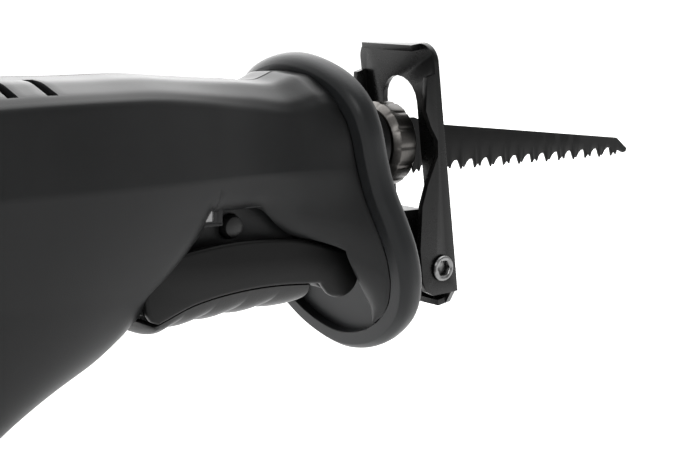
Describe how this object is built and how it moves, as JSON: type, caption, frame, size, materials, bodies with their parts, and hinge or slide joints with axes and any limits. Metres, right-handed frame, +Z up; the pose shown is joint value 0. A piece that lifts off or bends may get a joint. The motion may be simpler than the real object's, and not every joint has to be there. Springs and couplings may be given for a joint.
{
  "type": "reciprocating saw",
  "caption": "Compact in-line cordless reciprocating saw with a long paddle trigger, oval hand guard, hinged sheet-steel shoe and quick-release blade collar.",
  "frame": {"origin": "middle of the battery's flat base", "axes": "+X forward along the blade, +Y to the tool's left, +Z up"},
  "size_m": [0.36, 0.078, 0.1472],
  "materials": {
    "shell": "fine moulded texture, satin",
    "overmould": "soft matte",
    "black_plastic": "moulded, satin",
    "rubber": "soft matte",
    "sheet_steel": "gloss black coat",
    "nickel": "satin, dark nickel",
    "bright_steel": "turned",
    "dark_steel": "oiled dark steel",
    "blade_black": "satin black coat",
    "cast_alloy": "die cast",
    "bronze": "sintered",
    "copper": "wound copper",
    "magnet": "matte",
    "circuit_green": "satin",
    "cell_sleeve": "shrink sleeve over a metal can"
  },
  "bodies": {
    "main_frame": {"housing_left": "shell", "housing_right": "shell", "housing_screw_1": "dark_steel", "housing_screw_2": "dark_steel", "housing_screw_3": "dark_steel", "housing_screw_4": "dark_steel", "housing_screw_5": "dark_steel", "arm_screw_1": "dark_steel", "arm_screw_2": "dark_steel", "motor_can": "dark_steel", "front_guard": "overmould", "shoe_arm": "sheet_steel", "crank_axle": "bright_steel", "bearing_front": "bright_steel", "bearing_rear": "bright_steel", "trigger_pin": "bright_steel", "motor_end_cap": "black_plastic", "switch_body": "black_plastic", "terminal_block": "black_plastic", "gear_case": "cast_alloy", "gear_cover": "cast_alloy", "slider_bush_front": "bronze", "slider_bush_rear": "bronze", "slider_seal": "rubber", "magnet_left": "magnet", "magnet_right": "magnet", "brush_left": "magnet", "brush_right": "magnet", "circuit_board": "circuit_green"},
    "slider": {"slider_rod": "bright_steel", "scotch_yoke": "dark_steel", "clamp_sleeve": "black_plastic", "blade": "blade_black", "clamp_pin": "bright_steel"},
    "clamp_collar": {"clamp_ring": "nickel"},
    "shoe_frame": {"shoe": "sheet_steel", "shoe_pivot_bolt": "bright_steel", "shoe_pivot_nut": "bright_steel"},
    "crank": {"crank_gear": "dark_steel", "crank_pin": "bright_steel"},
    "rotor": {"motor_shaft": "bright_steel", "armature": "copper", "commutator": "copper", "cooling_fan": "black_plastic"},
    "trigger": {"trigger_paddle": "black_plastic", "trigger_grip": "rubber", "trigger_spring": "bright_steel"},
    "plunger": {"switch_plunger": "black_plastic"},
    "lock_off": {"lock_off_button": "rubber"},
    "battery_pack": {"battery_tray": "black_plastic", "battery_lid": "black_plastic", "battery_cell_1": "cell_sleeve", "battery_cell_2": "cell_sleeve", "battery_cell_3": "cell_sleeve"},
    "left_release": {"battery_button_left": "overmould"},
    "right_release": {"battery_button_right": "overmould"}
  },
  "joints": [
    {"name": "blade_stroke", "type": "slide", "parent": "main_frame", "child": "slider", "axis": [1, 0, 0], "range_m": [-0.018, 0]},
    {"name": "clamp_twist", "type": "hinge", "parent": "slider", "child": "clamp_collar", "pos_m": [0.194, 0, 0.114], "axis": [1, 0, 0], "range_deg": [0, 60], "stiffness_Nm_per_rad": 0.2, "springref_deg": -2.86},
    {"name": "shoe_pivot", "type": "hinge", "parent": "main_frame", "child": "shoe_frame", "pos_m": [0.2105, 0, 0.0741], "axis": [0, 1, 0], "range_deg": [0, 28]},
    {"name": "crank_turn", "type": "hinge", "parent": "main_frame", "child": "crank", "pos_m": [0.0998, 0, 0.106], "axis": [0, 0, 1], "continuous": true},
    {"name": "rotor_turn", "type": "hinge", "parent": "main_frame", "child": "rotor", "pos_m": [0.054, 0, 0.11], "axis": [1, 0, 0], "continuous": true},
    {"name": "trigger_squeeze", "type": "hinge", "parent": "main_frame", "child": "trigger", "pos_m": [0.1677, 0, 0.077], "axis": [0, 1, 0], "range_deg": [0, 6], "stiffness_Nm_per_rad": 1.5, "springref_deg": -3.44, "deforming": ["trigger_spring"]},
    {"name": "switch_press", "type": "slide", "parent": "main_frame", "child": "plunger", "axis": [0, 0, 1], "range_m": [0, 0.0027]},
    {"name": "lock_off_push", "type": "slide", "parent": "main_frame", "child": "lock_off", "axis": [0, 1, 0], "range_m": [0, 0.003], "stiffness_N_per_m": 150, "springref_m": -0.001},
    {"name": "battery_slide", "type": "slide", "parent": "main_frame", "child": "battery_pack", "axis": [-1, 0, 0], "range_m": [0, 0.085]},
    {"name": "left_release_press", "type": "slide", "parent": "battery_pack", "child": "left_release", "axis": [0, -1, 0], "range_m": [0, 0.0012], "stiffness_N_per_m": 400, "springref_m": -0.0005},
    {"name": "right_release_press", "type": "slide", "parent": "battery_pack", "child": "right_release", "axis": [0, 1, 0], "range_m": [0, 0.0012], "stiffness_N_per_m": 400, "springref_m": -0.0005}
  ],
  "couplings": [
    {"joint": "rotor_turn", "follows": "crank_turn", "ratio": -5},
    {"joint": "switch_press", "follows": "trigger_squeeze", "m_per_rad": 0.0237}
  ]
}
